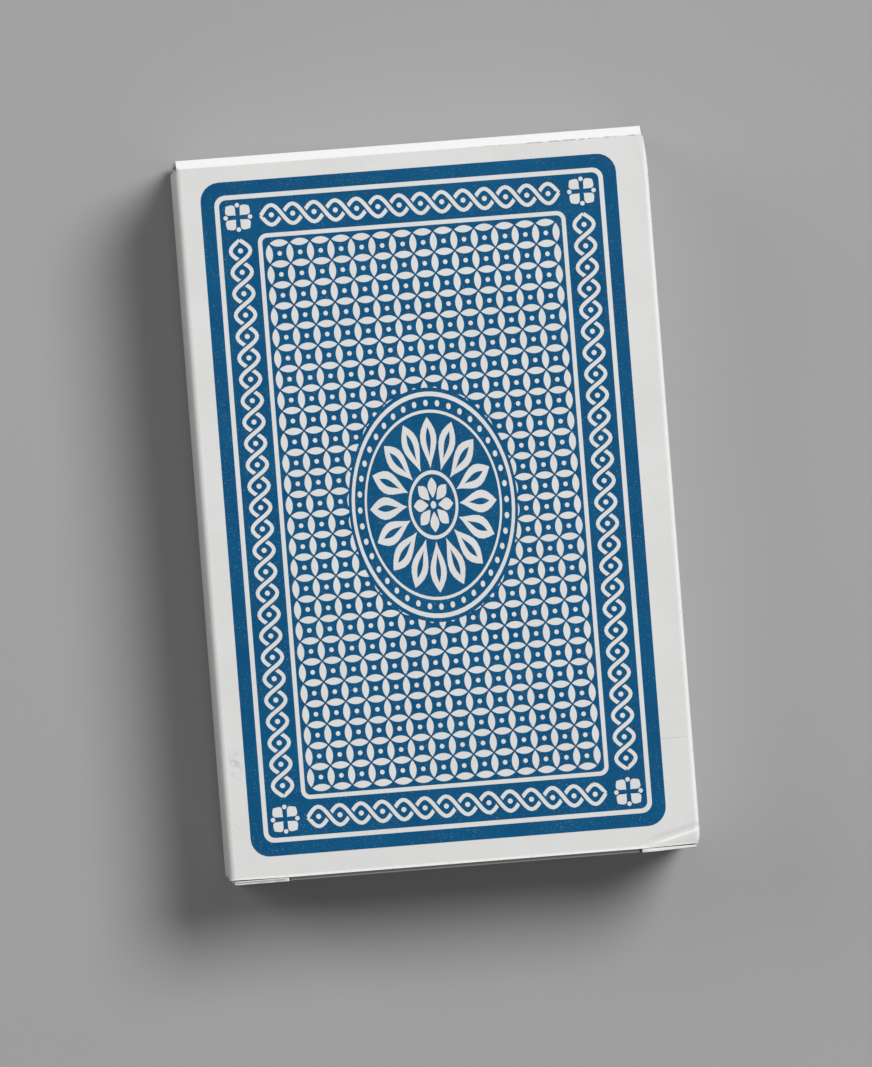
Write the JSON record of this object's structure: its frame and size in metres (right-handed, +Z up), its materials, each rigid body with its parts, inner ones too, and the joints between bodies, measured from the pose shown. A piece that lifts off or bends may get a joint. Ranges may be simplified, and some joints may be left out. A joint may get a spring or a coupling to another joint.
{
  "type": "playing card deck",
  "caption": "Deck of bridge-size playing cards squared up in a closed folded-board tuck carton with a hinged lid, slit-lock shoulders, a tuck tongue and dust flaps.",
  "frame": {"origin": "centre of the carton's footprint, on the surface that its back panel lies on", "axes": "+Z up through the printed panel, +Y along the carton towards the glued end, so the lid is at -Y, and +X across the carton to the right as the printed panel is read in the picture"},
  "size_m": [0.06, 0.092, 0.0185],
  "materials": {
    "carton_board": "satin",
    "inner_board": "matte",
    "card_stock": "satin",
    "blue_ink": "satin",
    "black_ink": "satin",
    "red_ink": "satin"
  },
  "bodies": {
    "carton": {"carton_wrap": "carton_board", "bottom_inner_flaps": "inner_board"},
    "deck": {"black_joker": "card_stock", "ace_of_spades": "card_stock", "two_of_spades": "card_stock", "three_of_spades": "card_stock", "four_of_spades": "card_stock", "five_of_spades": "card_stock", "six_of_spades": "card_stock", "seven_of_spades": "card_stock", "eight_of_spades": "card_stock", "nine_of_spades": "card_stock", "ten_of_spades": "card_stock", "jack_of_spades": "card_stock", "queen_of_spades": "card_stock", "king_of_spades": "card_stock", "ace_of_diamonds": "card_stock", "two_of_diamonds": "card_stock", "three_of_diamonds": "card_stock", "four_of_diamonds": "card_stock", "five_of_diamonds": "card_stock", "six_of_diamonds": "card_stock", "seven_of_diamonds": "card_stock", "eight_of_diamonds": "card_stock", "nine_of_diamonds": "card_stock", "ten_of_diamonds": "card_stock", "jack_of_diamonds": "card_stock", "queen_of_diamonds": "card_stock", "king_of_diamonds": "card_stock", "ace_of_clubs": "card_stock", "two_of_clubs": "card_stock", "three_of_clubs": "card_stock", "four_of_clubs": "card_stock", "five_of_clubs": "card_stock", "six_of_clubs": "card_stock", "seven_of_clubs": "card_stock", "eight_of_clubs": "card_stock", "nine_of_clubs": "card_stock", "ten_of_clubs": "card_stock", "jack_of_clubs": "card_stock", "queen_of_clubs": "card_stock", "king_of_clubs": "card_stock", "ace_of_hearts": "card_stock", "two_of_hearts": "card_stock", "three_of_hearts": "card_stock", "four_of_hearts": "card_stock", "five_of_hearts": "card_stock", "six_of_hearts": "card_stock", "seven_of_hearts": "card_stock", "eight_of_hearts": "card_stock", "nine_of_hearts": "card_stock", "ten_of_hearts": "card_stock", "jack_of_hearts": "card_stock", "queen_of_hearts": "card_stock", "king_of_hearts": "card_stock", "red_joker": "card_stock"},
    "lid": {"lid_panel": "carton_board"},
    "tongue": {"tuck_tongue": "carton_board"},
    "left_flap": {"left_dust_flap": "carton_board"},
    "right_flap": {"right_dust_flap": "carton_board"}
  },
  "joints": [
    {"name": "lid_hinge", "type": "hinge", "parent": "carton", "child": "lid", "pos_m": [0, -0.0458, 0.00022], "axis": [1, 0, 0], "range_deg": [0, 90]},
    {"name": "tongue_crease", "type": "hinge", "parent": "lid", "child": "tongue", "pos_m": [0, -0.0458, 0.01673], "axis": [1, 0, 0], "range_deg": [-36, 0]},
    {"name": "left_flap_crease", "type": "hinge", "parent": "carton", "child": "left_flap", "pos_m": [-0.02977, -0.04514, 0], "axis": [0, 0, -1], "range_deg": [0, 54]},
    {"name": "right_flap_crease", "type": "hinge", "parent": "carton", "child": "right_flap", "pos_m": [0.02977, -0.04514, 0], "axis": [0, 0, 1], "range_deg": [0, 54]},
    {"name": "deck_slide", "type": "slide", "parent": "carton", "child": "deck", "axis": [0, -1, 0], "range_m": [0, 0.00055]}
  ],
  "couplings": [
    {"joint": "tongue_crease", "follows": "lid_hinge", "ratio": -0.4},
    {"joint": "left_flap_crease", "follows": "lid_hinge", "ratio": 0.6},
    {"joint": "right_flap_crease", "follows": "lid_hinge", "ratio": 0.6}
  ]
}
